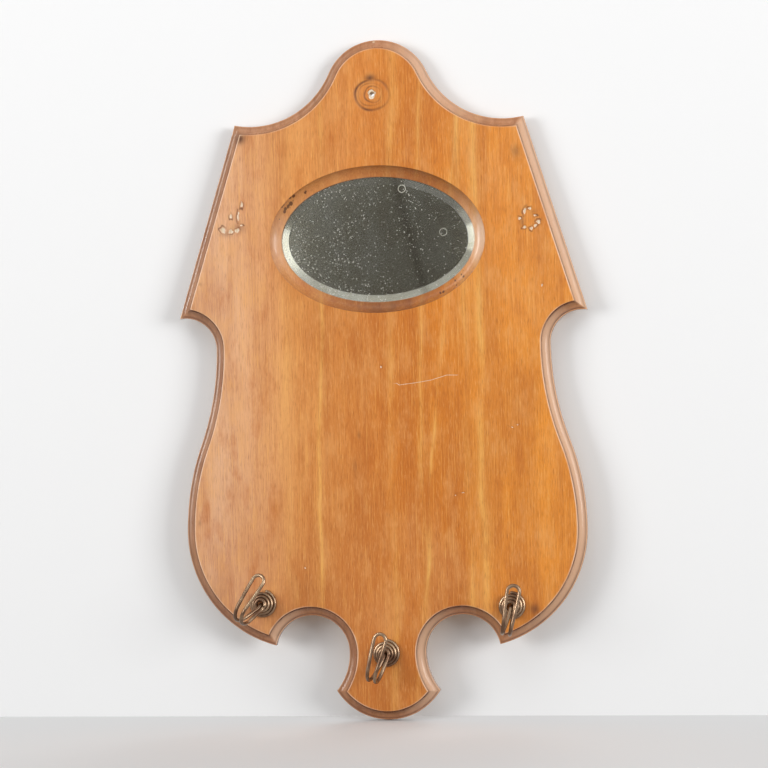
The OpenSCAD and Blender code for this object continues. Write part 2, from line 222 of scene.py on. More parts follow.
def right_half(inset):
    """Right half of the outline, moved inwards, from the bottom up to the crest."""
    turn = 2 * pi
    tongue_c = vec(0, BOTTOM_Y + TONGUE_R)
    flare_c = SCOOP_C + vec(FLARE_R - SCOOP_R, 0)
    belly_c = BELLY - vec(BELLY_R, 0)
    swell = BELLY - WAIST
    swell_r = swell.length_squared / (2 * swell.x)
    hollow_r = swell_r * WAIST_SHARE
    full_r = swell_r - hollow_r
    hollow_c = WAIST + vec(hollow_r, 0)
    full_c = BELLY - vec(full_r, 0)
    swell_a = asin(-swell.y / swell_r)
    notch = TIP - WAIST
    notch_r = notch.length_squared / (2 * notch.x)
    notch_c = WAIST + vec(notch_r, 0)
    crest_c = vec(0, CREST_Y - CREST_R)
    sweep_c = circles_meet(crest_c, CREST_R + SWEEP_R, CORNER, SWEEP_R, 1)
    sweep_a = angle_of(sweep_c - crest_c)
    side_u = (CORNER - TIP).normalized()
    side_p = TIP + inset * vec(-side_u.y, side_u.x)
    full = TONGUE_R - inset
    flare = FLARE_R + inset
    scoop = SCOOP_R + inset
    lower = BELLY_R - inset
    tongue_tip = circles_meet(tongue_c, full, flare_c, flare, -1)
    cusp = circles_meet(SCOOP_C, scoop, belly_c, lower, -1)
    shoulder = line_meets(side_p, side_u, notch_c, notch_r + inset, 1)
    upper = line_meets(side_p, side_u, sweep_c, SWEEP_R + inset, -1)
    return (
        arc(tongue_c, full, -pi / 2, angle_of(tongue_tip - tongue_c), FINE)
        + arc(flare_c, flare, angle_of(tongue_tip - flare_c) % turn, pi, COARSE)
        + arc(SCOOP_C, scoop, pi, angle_of(cusp - SCOOP_C), 2 * FINE)
        + arc(belly_c, lower, angle_of(cusp - belly_c), 0, FINE + COARSE)
        + arc(full_c, full_r - inset, 0, swell_a, COARSE)
        + arc(hollow_c, hollow_r + inset, pi + swell_a, pi, COARSE)
        + arc(notch_c, notch_r + inset, pi, angle_of(shoulder - notch_c), FINE)
        + [mix(shoulder, upper, i / FINE) for i in range(FINE)]
        + arc(sweep_c, SWEEP_R + inset, angle_of(upper - sweep_c) % turn, pi + sweep_a, FINE)
        + arc(crest_c, CREST_R - inset, sweep_a, pi / 2, FINE)
    )


def outline(inset):
    half = right_half(inset)
    right = [vec(CENTRE_X + p.x, p.y) for p in half]
    top = [vec(CENTRE_X, CREST_Y - inset)]
    left = [vec(CENTRE_X - p.x, p.y) for p in half[:0:-1]]
    return right + top + left


def outward(loop):
    """Unit directions away from the board at the points of its outline."""
    ways = []
    for i in range(len(loop)):
        along = loop[(i + 1) % len(loop)] - loop[i - 1]
        ways.append(vec(along.y, -along.x).normalized())
    return ways


def oval(grow):
    """Oval of the sight opening, grown all round."""
    ring = []
    for i in range(OVAL_STEPS):
        a = 2 * pi * i / OVAL_STEPS
        out = vec(SIGHT_B * cos(a), SIGHT_A * sin(a)).normalized()
        p = vec(SIGHT_A * cos(a), SIGHT_B * sin(a))
        ring.append(vec(MIRROR_X, MIRROR_Y) + p + grow * out)
    return ring


def circle(r, steps):
    """Points round the hanging hole."""
    return arc(vec(0, 0), r, 0, 2 * pi, steps)


# ---- Marks of wear on the face ---------------------------------------------------------


class Chip:
    """Spot where the stain and some wood have broken away."""

    # Steepness of its side, and the dark line round it: distance from its rim, and width
    SLOPE = 2.2
    LINE_OFF = 0.5
    LINE_W = 0.6

    def __init__(self, x, y, half_w, half_h, lean=0):
        self.x, self.y, self.half_w, self.half_h = x, y, half_w, half_h
        self.c, self.s = cos(radians(lean)), sin(radians(lean))
        self.phase = rng.uniform(0, 6)

    def at(self, x, y):
        """Depth and dark line, each from 0 to 1."""
        dx, dy = x - self.x, y - self.y
        u = (dx * self.c + dy * self.s) / self.half_w
        v = (dy * self.c - dx * self.s) / self.half_h
        a = atan2(v, u)
        ragged = 0.14 * sin(3 * a + self.phase) + 0.10 * sin(5 * a - 2 * self.phase)
        out = hypot(u, v) / (1 + ragged)
        off = (out - 1) * min(self.half_w, self.half_h) - self.LINE_OFF
        uneven = 0.6 + 0.4 * sin(a + self.phase)
        return ease(self.SLOPE * (1 - out)), bell(off, self.LINE_W) * uneven


# Middle and half size of the two patches where the face is scarred
SCARS = [(-159, -137, 20, 22), (171, -142, 17, 18)]
CHIP_ROWS = [
    (-169.6, -145.5, 3.1, 4.3, 20),
    (-160.7, -147.2, 3.1, 2.8),
    (-153.6, -146.3, 3.4, 2.6, 35),
    (-148.7, -140.5, 1.7, 1.1),
    (-160.3, -130.3, 1.7, 2.8),
    (-152.1, -130.5, 1.1, 6.7, -3),
    (-147.8, -117.5, 1.4, 3.8, -8),
    (166.3, -133.6, 1.6, 4.3, -12),
    (171.8, -131.0, 2.2, 1.6),
    (177.3, -138.8, 1.9, 1.1),
    (181.0, -145.9, 2.3, 2.9, 25),
    (177.7, -149.9, 2.6, 1.6, 40),
    (173.3, -152.9, 1.8, 2.4, -30),
    (165.8, -151.3, 2.4, 1.8, 20),
    (160.6, -141.6, 1.9, 1.9),
    (183.7, -215.1, 0.9, 1.9, -10),
    (-171.7, -210.5, 0.7, 0.8),
    (4.7, -300.8, 1.0, 1.5),
    (148.0, -369.5, 1.6, 0.6, -25),
    (154.0, -367.0, 0.9, 0.6, 10),
    (92.0, -440.5, 2.8, 0.45, 5),
    (84.5, -443.0, 1.1, 0.5, 40),
    (-84.2, -521.0, 0.8, 1.3, 15),
]
CHIPS = [Chip(*row) for row in CHIP_ROWS]
# Chips from here on lie outside the two scarred patches
LONE_CHIPS = 15
# Ring prints round the hole: middle, half width, half height, strength and line width
PRINTS = [
    (0.6, -0.8, 19.0, 16.8, 1.3, 1.4),
    (-1.0, -0.5, 14.0, 12.6, 0.6, 0.9),
    (1.4, -0.4, 9.4, 9.0, 0.9, 0.9),
]


def ring_print(x, y):
    """Depth from 0 to 1 of the ring prints round the hanging hole."""
    deep = 0
    for cx, cy, half_w, half_h, strength, width in PRINTS:
        u, v = (x - cx) / half_w, (y - cy) / half_h
        a = atan2(v, u)
        uneven = 0.62 - 0.3 * cos(a) + 0.12 * sin(3 * a + half_w)
        off = (hypot(u, v) - 1) * half_h + 0.3 * sin(4 * a + half_w)
        deep = max(deep, strength * uneven * bell(off, width))
    return deep


def hole_wear(x, y):
    """Depth from 0 to 1 of the chipped rim of the hanging hole."""
    a = atan2(y, x)
    rim = 5.2 + 0.5 * sin(3 * a + 0.6) + 0.3 * sin(5 * a)
    return ease((rim - hypot(x / 0.85, y / 1.15)) / 1.1)


# Small nick in the moulding on top of the crest
CREST_NICK = vec(1.6, 58.6)

# Corners of the long scratch under the mirror
SCRATCH = [(21.6, -318.8), (24.3, -321), (42.1, -319), (59.8, -316.3), (77.6, -311.1)]
SCRATCH = [Vector(p) for p in SCRATCH + [(88.6, -311.4)]]


def off_scratch(x, y):
    """Distance from the long scratch under the mirror."""
    p = vec(x, y)
    best = 1e9
    for a, b in zip(SCRATCH, SCRATCH[1:]):
        t = min(max((p - a).dot(b - a) / (b - a).length_squared, 0), 1)
        best = min(best, (p - mix(a, b, t)).length)
    return best


# Smudges of dirt: middle, half width, half height and strength
SMUDGES = [
    (-1.2, 17.8, 6.0, 3.8, 0.85),
    (-148.5, -44.5, 7.0, 6.0, 1.0),
    (158.1, -69.0, 5.0, 7.5, 0.5),
    (169.1, -568.2, 5.0, 6.0, 0.75),
    (-152.5, -143.5, 7.0, 5.5, 0.55),
    (-165.0, -149.0, 8.0, 4.0, 0.4),
    (163.7, -145.5, 3.0, 6.0, 0.5),
    (175.5, -134.5, 3.5, 3.0, 0.35),
    (-21.2, -375.2, 2.0, 4.0, 0.35),
    (-26.3, -410.4, 2.2, 8.0, 0.25),
    (-201.5, -469.8, 1.4, 3.0, 0.5),
    (-196.5, -204.4, 1.6, 1.6, 0.45),
]


def smudge_at(x, y):
    """Dirt from 0 to 1 of the smudges."""
    dirt = 0
    for cx, cy, w, h, strength in SMUDGES:
        dirt = max(dirt, strength * exp(-((x - cx) / w) ** 2 - ((y - cy) / h) ** 2))
    return dirt


# Depths of the ring prints, the hole's chipped rim, the chips and the scratch
PRINT_D = 0.3
RIM_D = 1
CHIP_D = 0.7
SCRATCH_D = 0.12
# Half widths of the scratch and of the bare line that it leaves
SCRATCH_W = 0.35
SCRATCH_BARE_W = 0.42
# How far the marks round the hanging hole reach, and a chip with its dark line, and the
# strength of that line round a lone chip
HOLE_MARKS_R = 24
CHIP_REACH = 9
LONE_DIRT = 0.2


def wear_at(x, y):
    """Depth in mm, bare wood and dirt, the last two from 0 to 1, at a point of the face."""
    bare, dirt, deep = 0, 0, 0
    if hypot(x, y) < HOLE_MARKS_R:
        prints = ring_print(x, y)
        rim = hole_wear(x, y)
        deep = PRINT_D * prints + RIM_D * rim
        dirt = 0.8 * max(prints, bell(rim - 0.5, 0.25))
        bare = rim
    for i, chip in enumerate(CHIPS):
        if abs(x - chip.x) < CHIP_REACH and abs(y - chip.y) < CHIP_REACH:
            cut, line = chip.at(x, y)
            deep = max(deep, CHIP_D * cut)
            bare = max(bare, cut)
            dirt = max(dirt, line if i < LONE_CHIPS else LONE_DIRT * line)
    off = off_scratch(x, y)
    deep += SCRATCH_D * bell(off, SCRATCH_W)
    bare = max(bare, 0.7 * bell(off, SCRATCH_BARE_W))
    return deep, bare, max(dirt, smudge_at(x, y)) * (1 - bare)


# ---- Meshes ----------------------------------------------------------------------------


def linked(name, data):
    """New object in the scene, from a mesh, a lamp or a camera."""
    obj = bpy.data.objects.new(name, data)
    bpy.context.scene.collection.objects.link(obj)
    return obj


def mesh_of(bm, name):
    mesh = bpy.data.meshes.new(name)
    bm.to_mesh(mesh)
    bm.free()
    return mesh


class Shell:
    """A mesh put together from rings of points, with a few values carried by its points."""

    LAYERS = ("moulding", "bare", "dirt", "rubbed", "faded", "pits")
    # Twice the least area of a triangle, in mm2
    SLIVER = 1e-3

    def __init__(self):
        self.bm = bmesh.new()
        self.layers = {n: self.bm.verts.layers.float.new(n) for n in self.LAYERS}

    def carry(self, v, **values):
        for name, value in values.items():
            v[self.layers[name]] = value

    def point(self, p, z, **values):
        v = self.bm.verts.new(place(p[0], p[1], z))
        self.carry(v, **values)
        return v

    def ring(self, points, z, **values):
        return [self.point(p, z, **values) for p in points]

    def stack(self, rings):
        """Joins rings, each to the next."""
        for low, high in zip(rings, rings[1:]):
            n = len(low)
            for i in range(n):
                j = (i + 1) % n
                self.bm.faces.new((low[i], low[j], high[j], high[i]))

    def solid(self, rings):
        """Joins rings, each to the next, and closes both ends."""
        self.stack(rings)
        self.bm.faces.new(rings[-1])
        self.bm.faces.new(rings[0][::-1])

    def sheet(self, loops, inner=()):
        """Fills between a rim and its holes; loops and inner points come with their vertices."""
        pairs = [pair for points, ring in loops for pair in zip(points, ring)] + list(inner)
        edges = []
        start = 0
        for points, _ in loops:
            n = len(points)
            edges += [(start + i, start + (i + 1) % n) for i in range(n)]
            start += n
        flat = [Vector(p) for p, _ in pairs]
        spots, _, triangles, came_from = delaunay_2d_cdt(flat, edges, [], 0, 1e-5)[:4]
        vertex = [pairs[ids[0]][1] if ids else None for ids in came_from]
        rim, *holes = [points for points, _ in loops]
        for triangle in triangles:
            a, b, c = (spots[i] for i in triangle)
            middle = (a + b + c) / 3
            if abs((b - a).cross(c - a)) < self.SLIVER or not in_loop(middle, rim):
                continue
            if not any(in_loop(middle, hole) for hole in holes):
                self.bm.faces.new([vertex[i] for i in triangle])

    def finish(self, name, sharp=35):
        """Object from the mesh, smooth but for edges sharper than an angle in degrees."""
        bmesh.ops.recalc_face_normals(self.bm, faces=self.bm.faces)
        for face in self.bm.faces:
            face.smooth = True
        for edge in self.bm.edges:
            if len(edge.link_faces) == 2 and edge.calc_face_angle(0) > radians(sharp):
                edge.smooth = False
        return linked(name, mesh_of(self.bm, name))


def in_loop(p, loop):
    inside = False
    for a, b in zip(loop, loop[1:] + loop[:1]):
        if (a.y > p.y) != (b.y > p.y) and p.x < (b.x - a.x) * (p.y - a.y) / (b.y - a.y) + a.x:
            inside = not inside
    return inside


def in_oval(p, grow):
    u = (p.x - MIRROR_X) / (SIGHT_A + grow)
    v = (p.y - MIRROR_Y) / (SIGHT_B + grow)
    return u * u + v * v < 1


def grid_points(cx, cy, half_w, half_h, step):
    columns, rows = (range(int(2 * half / step) + 1) for half in (half_w, half_h))
    low_x, low_y = cx - half_w, cy - half_h
    return [vec(low_x + i * step, low_y + j * step) for i in columns for j in rows]


# Spacing of the face's points at the marks, and elsewhere, where each is moved by up to a shift
SCAR_STEP = 0.75
CHIP_STEP = 0.6
SMUDGE_STEP = 1.6
SCRATCH_STEP = 0.8
FACE_STEP = 9
FACE_SHIFT = 2
# Half size of the grid at a lone chip, and at a smudge as a share of its own, and the places
# of points across the scratch
CHIP_GRID = (3, 4)
SMUDGE_GRID = 2.4
SCRATCH_ACROSS = (-1.2, -0.4, 0, 0.4, 1.2)
# Rings of points round the hole: spacing, number, how many have as many points as the hole,
# and points on each of the others
RING_STEP = 0.5
RING_COUNT = 41
CLOSE_RINGS = 7
FAR_RING_STEPS = 120


def face_points(opening_grow):
    """Loose points of the face: fine ones at the marks of wear, coarse ones elsewhere."""
    points = []
    for cx, cy, half_w, half_h in SCARS:
        points += grid_points(cx, cy, half_w, half_h, SCAR_STEP)
    for chip in CHIPS[LONE_CHIPS:]:
        points += grid_points(chip.x, chip.y, *CHIP_GRID, CHIP_STEP)

    def in_scar(p):
        return any(abs(p.x - cx) < w + 1 and abs(p.y - cy) < h + 1 for cx, cy, w, h in SCARS)

    for cx, cy, w, h, _ in SMUDGES:
        fine = grid_points(cx, cy, SMUDGE_GRID * w, SMUDGE_GRID * h, SMUDGE_STEP)
        points += [p for p in fine if not in_scar(p) and p.length > HOLE_MARKS_R + 0.5]
    for k in range(1, RING_COUNT + 1):
        steps = HOLE_STEPS if k <= CLOSE_RINGS else FAR_RING_STEPS
        points += circle(HOLE_R + ARRIS + RING_STEP * k, steps)
    for a, b in zip(SCRATCH, SCRATCH[1:]):
        count = int((b - a).length / SCRATCH_STEP)
        across = vec(-(b - a).y, (b - a).x).normalized()
        for i in range(count):
            for off in SCRATCH_ACROSS:
                points.append(mix(a, b, (i + 0.5) / count) + off * across)
    x = BOARD_LOW.x
    while x < BOARD_HIGH.x:
        y = BOTTOM_Y
        while y < CREST_Y:
            shift_x = rng.uniform(-FACE_SHIFT, FACE_SHIFT)
            p = vec(x + shift_x, y + rng.uniform(-FACE_SHIFT, FACE_SHIFT))
            if not in_scar(p) and p.length > HOLE_MARKS_R + 1 and off_scratch(p.x, p.y) > 4:
                points.append(p)
            y += FACE_STEP
        x += FACE_STEP
    smaller = outline(FACE_IN + 1.6)
    return [p for p in points if in_loop(p, smaller) and not in_oval(p, opening_grow)]


def edge_profile():
    """Lines of the moulded edge from the back up to the face.

    Each has inset and height, then 0 to 1: moulding, dirt and painted shade, rubbing and painted
    highlight.
    """
    cove = []
    for i in range(COVE_STEPS + 1):
        a = pi / 2 * i / COVE_STEPS
        inset, z = LIP_W + COVE_R * sin(a), LIP_Z + COVE_R * (1 - cos(a))
        # Dark lines at the cove's two ends are dirt and painted shade
        cove.append((inset, z, 1, 0.9 * bell(i, 1.2) + bell(i - COVE_STEPS, 2.4), 0))
    # Dark lines on the outer side and the ledge are dirt and painted shade
    return (
        [(ARRIS, 0, 0, 0, 0), (0, ARRIS, 1, 0.9, 0), (0, LIP_Z - 1.2, 1, 0.9, 0)]
        + [(0, LIP_Z - ARRIS, 1, 0.6, 0.1), (0.3 * ARRIS, LIP_Z - 0.3 * ARRIS, 0.8, 0.2, 0.3)]
        + [(ARRIS, LIP_Z, 0.6, 0, 0.5), (LIP_W - 0.25, LIP_Z, 0.9, 0.1, 0.2)]
        + cove
        + [(FACE_IN - 0.2, LEDGE_Z, 1, 1, 0), (FACE_IN, LEDGE_Z + 0.2, 1, 1, 0)]
        + [(FACE_IN, BOARD_T - ARRIS, 0.6, 0.4, 0.1)]
        # Light lines on the face's arris are rubbed wear and a painted highlight
        + [(FACE_IN + 0.3 * ARRIS, BOARD_T - 0.3 * ARRIS, 0.3, 0, 1)]
        + [(FACE_IN + ARRIS, BOARD_T, 0, 0, 0.9), (FACE_IN + FACE_RIM_W, BOARD_T, 0, 0, 0)]
    )


def edge_rings(shell, profile):
    """Rings of the moulded edge, with painted shade on lower sides and painted light on the right.
    """
    rings = []
    ways = outward(outline(0))
    for inset, z, m, d, w in profile:
        loop = outline(inset)
        ring = shell.ring(loop, z, moulding=m)
        for p, way, v in zip(loop, ways, ring):
            below, above, right = max(-way.y, 0), max(way.y, 0), max(way.x, 0)
            # Painted shade, more on sides facing down and right, less on sides facing up
            shade_weight = 0.35 + 0.65 * below + 0.25 * right - 0.2 * above
            shell.carry(
                v,
                dirt=max(d * shade_weight, smudge_at(p.x, p.y)),
                # Rubbed arrises with a painted highlight, strongest on sides facing left and right
                rubbed=w * (0.1 + 0.9 * abs(way.x)),
                # Painted light on the moulding's right side
                faded=m * ease(way.x),
                bare=bell((p - CREST_NICK).length, 1.6),
            )
        rings.append(ring)
    return rings


def opening_profile():
    """Lines of the mirror opening from the back: growth of the oval, height and moulding."""
    fall = HOLLOW_D - HOLLOW_EDGE
    hollow_r = (HOLLOW_W**2 + fall**2) / (2 * fall)
    hollow_a = asin(HOLLOW_W / hollow_r)
    foot = BOARD_T - HOLLOW_D
    lip_back = foot - SIGHT_LIP_T
    hollow = []
    for i in range(1, HOLLOW_STEPS + 1):
        a = hollow_a * i / HOLLOW_STEPS
        hollow.append((hollow_r * sin(a), foot + hollow_r * (1 - cos(a)), 0.25))
    return (
        [(GLASS_LAP + REBATE_GAP, 0, 0), (GLASS_LAP + REBATE_GAP, lip_back, 0)]
        + [(0, lip_back, 1), (0, foot - ARRIS, 1), (ARRIS, foot, 0.4)]
        + hollow
        + [(HOLLOW_W, BOARD_T - ARRIS, 0.2), (HOLLOW_W + ARRIS, BOARD_T, 0)]
    )


# Marks round the hollow: place and spread, in degrees over the top, and strength
PITTED = [(147, 15, 1), (318, 22, 0.7)]
# Dirt at the bottom of the hollow, and painted shade at its upper right
HOLLOW_DIRT_AND_SHADE = [(275, 36, 0.6), (60, 40, 0.3)]
# Painted highlights at the hollow's right and left ends
HOLLOW_HIGHLIGHTS = [(0, 22, 0.9), (360, 22, 0.9), (180, 22, 0.3)]
# The same for the painted shadow on the lip over the glass, and dirt that is everywhere in the
# hollow
LIP_SHADOW = [(90, 70, 0.9)]
THIN_DIRT = 0.08


def marked(a, marks):
    return sum(strength * bell(a - middle, spread) for middle, spread, strength in marks)


def opening_rings(shell, profile):
    rings = []
    for grow, z, m in profile:
        ring = shell.ring(oval(grow), z, moulding=m)
        share = min(4 * m, 1)
        for i, v in enumerate(ring):
            a = 360 * i / OVAL_STEPS
            # Painted shadow on the lip at the top; dirt and painted shade in the hollow
            dirt = marked(a, LIP_SHADOW) if grow == 0 else share * (marked(a, HOLLOW_DIRT_AND_SHADE) + THIN_DIRT)
            shell.carry(v, dirt=dirt)
            # Painted highlights at the hollow's ends
            shell.carry(v, pits=share * marked(a, PITTED), rubbed=share * marked(a, HOLLOW_HIGHLIGHTS))
        rings.append(ring)
    return rings


def board_shell():
    """The whole board, with both planks in one closed mesh."""
    shell = Shell()
    edge = edge_profile()
    around = edge_rings(shell, edge)
    shell.stack(around)
    opening = opening_profile()
    sight = opening_rings(shell, opening)
    shell.stack(sight[::-1])
    bore = circle(HOLE_R, HOLE_STEPS)
    mouth = circle(HOLE_R + ARRIS, HOLE_STEPS)
    bored = [(bore, 0), (bore, BOARD_T - RAW_D), (mouth, BOARD_T - MOUTH_D)]
    hole = [shell.ring(loop, z, bare=1) for loop, z in bored]
    shell.stack(hole[::-1])

    inner = []
    for p in face_points(HOLLOW_W + 2):
        if p.length > HOLE_R + ARRIS + 0.2:
            deep, bare, dirt = wear_at(p.x, p.y)
            inner.append((p, shell.point(p, BOARD_T - deep, bare=bare, dirt=dirt)))
    for end, round_hole, points in ((-1, mouth, inner), (0, bore, ())):
        rim = (outline(edge[end][0]), around[end])
        oval_hole = (oval(opening[end][0]), sight[end])
        shell.sheet([rim, oval_hole, (round_hole, hole[end])], points)
    return shell


def plank(name, side):
    """The part of the board to the left (-1) or right (1) of the glue joint."""
    shell = board_shell()
    origin = place(CENTRE_X - JOINT_X, WAIST.y, 0)
    across = vec(cos(JOINT_LEAN), 0, -sin(JOINT_LEAN))
    cut = bmesh.ops.bisect_plane(
        shell.bm,
        geom=shell.bm.verts[:] + shell.bm.edges[:] + shell.bm.faces[:],
        plane_co=origin,
        plane_no=across * side,
        clear_inner=True,
        dist=1e-7,
    )
    rim = [g for g in cut["geom_cut"] if isinstance(g, bmesh.types.BMEdge)]
    bmesh.ops.holes_fill(shell.bm, edges=rim, sides=0)
    return shell.finish(name)


# Chamfer of the glass, gaps behind it and the silvering, how much smaller the silvering is,
# and the least angle of an arris of the glass
NIP = 0.15
GLASS_OFF = 0.02
SILVER_OFF = 0.01
SILVER_IN = 0.1
BEVEL_SHARP = 3


def oval_lens():
    """The bevelled glass."""
    shell = Shell()
    back, front, rim = GLASS_LOW.z + GLASS_OFF, GLASS_HIGH.z, GLASS_HIGH.z - BEVEL_D
    flat = GLASS_LAP - BEVEL_W
    profile = [(GLASS_LAP - NIP, back), (GLASS_LAP, back + NIP), (GLASS_LAP, rim - NIP)]
    profile += [(GLASS_LAP - NIP, rim), (flat + NIP, front - NIP * BEVEL_D / BEVEL_W)]
    profile += [(flat - NIP, front)]
    shell.solid([shell.ring(oval(grow), z) for grow, z in profile])
    return shell.finish("glass_oval", BEVEL_SHARP)


def silver_plate():
    shell = Shell()
    loop = oval(GLASS_LAP - SILVER_IN)
    shell.solid([shell.ring(loop, z) for z in (SILVER_LOW.z + SILVER_OFF, SILVER_HIGH.z)])
    return shell.finish("silvering_oval")


# ---- Hooks -----------------------------------------------------------------------------

BEND_L = BEND_R * BEND_TURN
RUN_L = ARM_L + BEND_L + LEG_L
LEG_DIP = ARM_DIP - BEND_TURN


def run_point(s):
    """Point (out, up) on the hook's run, at a distance s from the start of the arm."""
    a = -ARM_DIP + min(max(s - ARM_L, 0), BEND_L) / BEND_R
    leg = max(s - ARM_L - BEND_L, 0)
    arm = min(s, ARM_L)
    out = arm * cos(ARM_DIP) + BEND_R * (sin(a) + sin(ARM_DIP))
    up = -arm * sin(ARM_DIP) + BEND_R * (cos(ARM_DIP) - cos(a))
    return out + leg * cos(LEG_DIP), up - leg * sin(LEG_DIP)


def strand(s, side):
    """Offset across of one strand of the hook."""
    half_run = ARM_L + BEND_L / 2
    mid = mix(EYE_R / 2, 0, ease(s / half_run))
    near = mix(EYE_R / 2, FOOT_HALF, ease(s / half_run))
    half = mix(near, LOOP_R, ease((s - half_run) / (BEND_L / 2 + LEG_L)))
    return mid + side * half


def bent(p, start, left, up):
    """Bends the hook's free part to the left and up, more and more away from the rosette."""
    v = p - start
    w = ease(v.length / (2 * NECK_R))
    v = Matrix.Rotation(-up * w, 3, "X") @ v
    return start + Matrix.Rotation(-left * w, 3, "Y") @ v


# Steps along the shank, the neck, the arm, the bend, the leg, the loop and each turn
SHANK_STEPS = 6
NECK_STEPS = 9
ARM_STEPS = 7
BEND_STEPS = 26
LEG_STEPS = 9
LOOP_STEPS = 18
TURN_STEPS = 44


def wire_path(left, up, rise):
    """Centre line of a hook's wire, from the shank to the rosette's end, off the board's face."""
    eye = vec(0, 0, WIRE_R + rise)
    drop = NECK_R * (1 - cos(ARM_DIP))
    arm_z = eye.z + drop / tan((pi / 2 + ARM_DIP) / 2)
    neck_z = arm_z - NECK_R * sin(ARM_DIP)
    levels = [mix(-SHANK_IN, neck_z, i / SHANK_STEPS) for i in range(SHANK_STEPS + 1)]
    path = [vec(0, 0, z) for z in levels]
    free = []
    for i in range(1, NECK_STEPS):
        a = ARM_DIP * i / NECK_STEPS
        free.append(vec(0, -NECK_R * (1 - cos(a)), neck_z + NECK_R * sin(a)))
    run = [ARM_L * i / ARM_STEPS for i in range(ARM_STEPS)]
    run += [ARM_L + BEND_L * i / BEND_STEPS for i in range(BEND_STEPS)]
    run += [ARM_L + BEND_L + LEG_L * i / LEG_STEPS for i in range(LEG_STEPS)]
    out_and_back = []
    for side in (-1, 1):
        spots = [(strand(s, side), run_point(s)) for s in run]
        out_and_back.append([vec(x, rose - drop, arm_z + out) for x, (out, rose) in spots])
    top_out, top_up = run_point(RUN_L)
    loop = []
    for i in range(LOOP_STEPS + 1):
        a = pi * (1 - i / LOOP_STEPS)
        y = top_up - drop - LOOP_R * sin(a) * sin(LEG_DIP)
        z = arm_z + top_out + LOOP_R * sin(a) * cos(LEG_DIP)
        loop.append(vec(LOOP_R * cos(a), y, z))
    free += out_and_back[0] + loop + out_and_back[1][:0:-1]
    path += [bent(p, eye, left, up) for p in free]
    steps = int(TURNS * TURN_STEPS)
    for i in range(steps + 1):
        a = 2 * pi * i / TURN_STEPS
        r = EYE_R + TURN_PITCH * i / TURN_STEPS
        path.append(vec(r * cos(a), r * sin(a), WIRE_R + rise * (1 - i / steps)))
    last = 2 * pi * TURNS
    path.append(path[-1] + 2 * WIRE_R * vec(-sin(last), cos(last), 0))
    return path


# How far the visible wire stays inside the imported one
WIRE_IN = 0.02
# Rings at the wire's start, along it and at its end: distance back along the wire and radius,
# both as shares of its radius
START_RINGS, MID_RINGS, END_RINGS = [(0, 0.35)], [(0, 1)], [(0.5, 1), (0.15, 0.85), (0, 0.5)]


def wire(name, spec):
    """One hook as a round wire with rounded ends."""
    x, y, turn, left, up, rise = spec
    spin = Matrix.Rotation(radians(turn), 3, "Z")
    foot = vec(CENTRE_X + x, y, BOARD_T)
    path = [spin @ p + foot for p in wire_path(radians(left), radians(up), rise)]
    shell = Shell()
    last = len(path) - 1
    special = {0: START_RINGS, last: END_RINGS}
    radius = WIRE_R - WIRE_IN
    spokes = [2 * pi * k / WIRE_SIDES for k in range(WIRE_SIDES)]
    across = vec(1, 0, 0)
    rings = []
    for i, p in enumerate(path):
        along = (path[min(i + 1, last)] - path[max(i - 1, 0)]).normalized()
        across = (across - across.dot(along) * along).normalized()
        side = along.cross(across)
        for back, share in special.get(i, MID_RINGS):
            centre = p - along * radius * back
            r = radius * share
            spots = [centre + r * (cos(a) * across + sin(a) * side) for a in spokes]
            rings.append([shell.point(spot, spot.z) for spot in spots])
    shell.solid(rings)
    return shell.finish(name, sharp=180)


# ---- Materials -------------------------------------------------------------------------


def srgb(r, g, b):
    """Linear colour from the numbers 0 to 255 that it shows as."""
    def one(v):
        v /= 255
        return v / 12.92 if v <= 0.04045 else ((v + 0.055) / 1.055) ** 2.4
    return (one(r), one(g), one(b), 1)


class Nodes:
    """A node tree, and short ways to add nodes to it."""

    def __init__(self, tree):
        self.tree = tree

    def node(self, kind, **settings):
        n = self.tree.nodes.new("ShaderNode" + kind)
        for key, value in settings.items():
            setattr(n, key, value)
        return n

    def put(self, socket, value):
        if isinstance(value, bpy.types.NodeSocket):
            self.tree.links.new(value, socket)
        else:
            socket.default_value = value

    def fill(self, n, **values):
        """Fills inputs by name, with _ for a space, and gives the node's first output."""
        for key, value in values.items():
            self.put(n.inputs[key.replace("_", " ")], value)
        return n.outputs[0]

    def math(self, operation, a, b=0.0, clamp=False):
        n = self.node("Math", operation=operation, use_clamp=clamp)
        self.put(n.inputs[0], a)
        self.put(n.inputs[1], b)
        return n.outputs[0]

    plus = partialmethod(math, "ADD")
    minus = partialmethod(math, "SUBTRACT")
    times = partialmethod(math, "MULTIPLY")
    over = partialmethod(math, "DIVIDE")
    power = partialmethod(math, "POWER")
    greater = partialmethod(math, "MAXIMUM")

    def either(self, factor, a, b):
        """Shader a where the factor is 0 and b where it is 1."""
        n = self.node("MixShader")
        for socket, value in zip(n.inputs, (factor, a, b)):
            self.put(socket, value)
        return n.outputs[0]


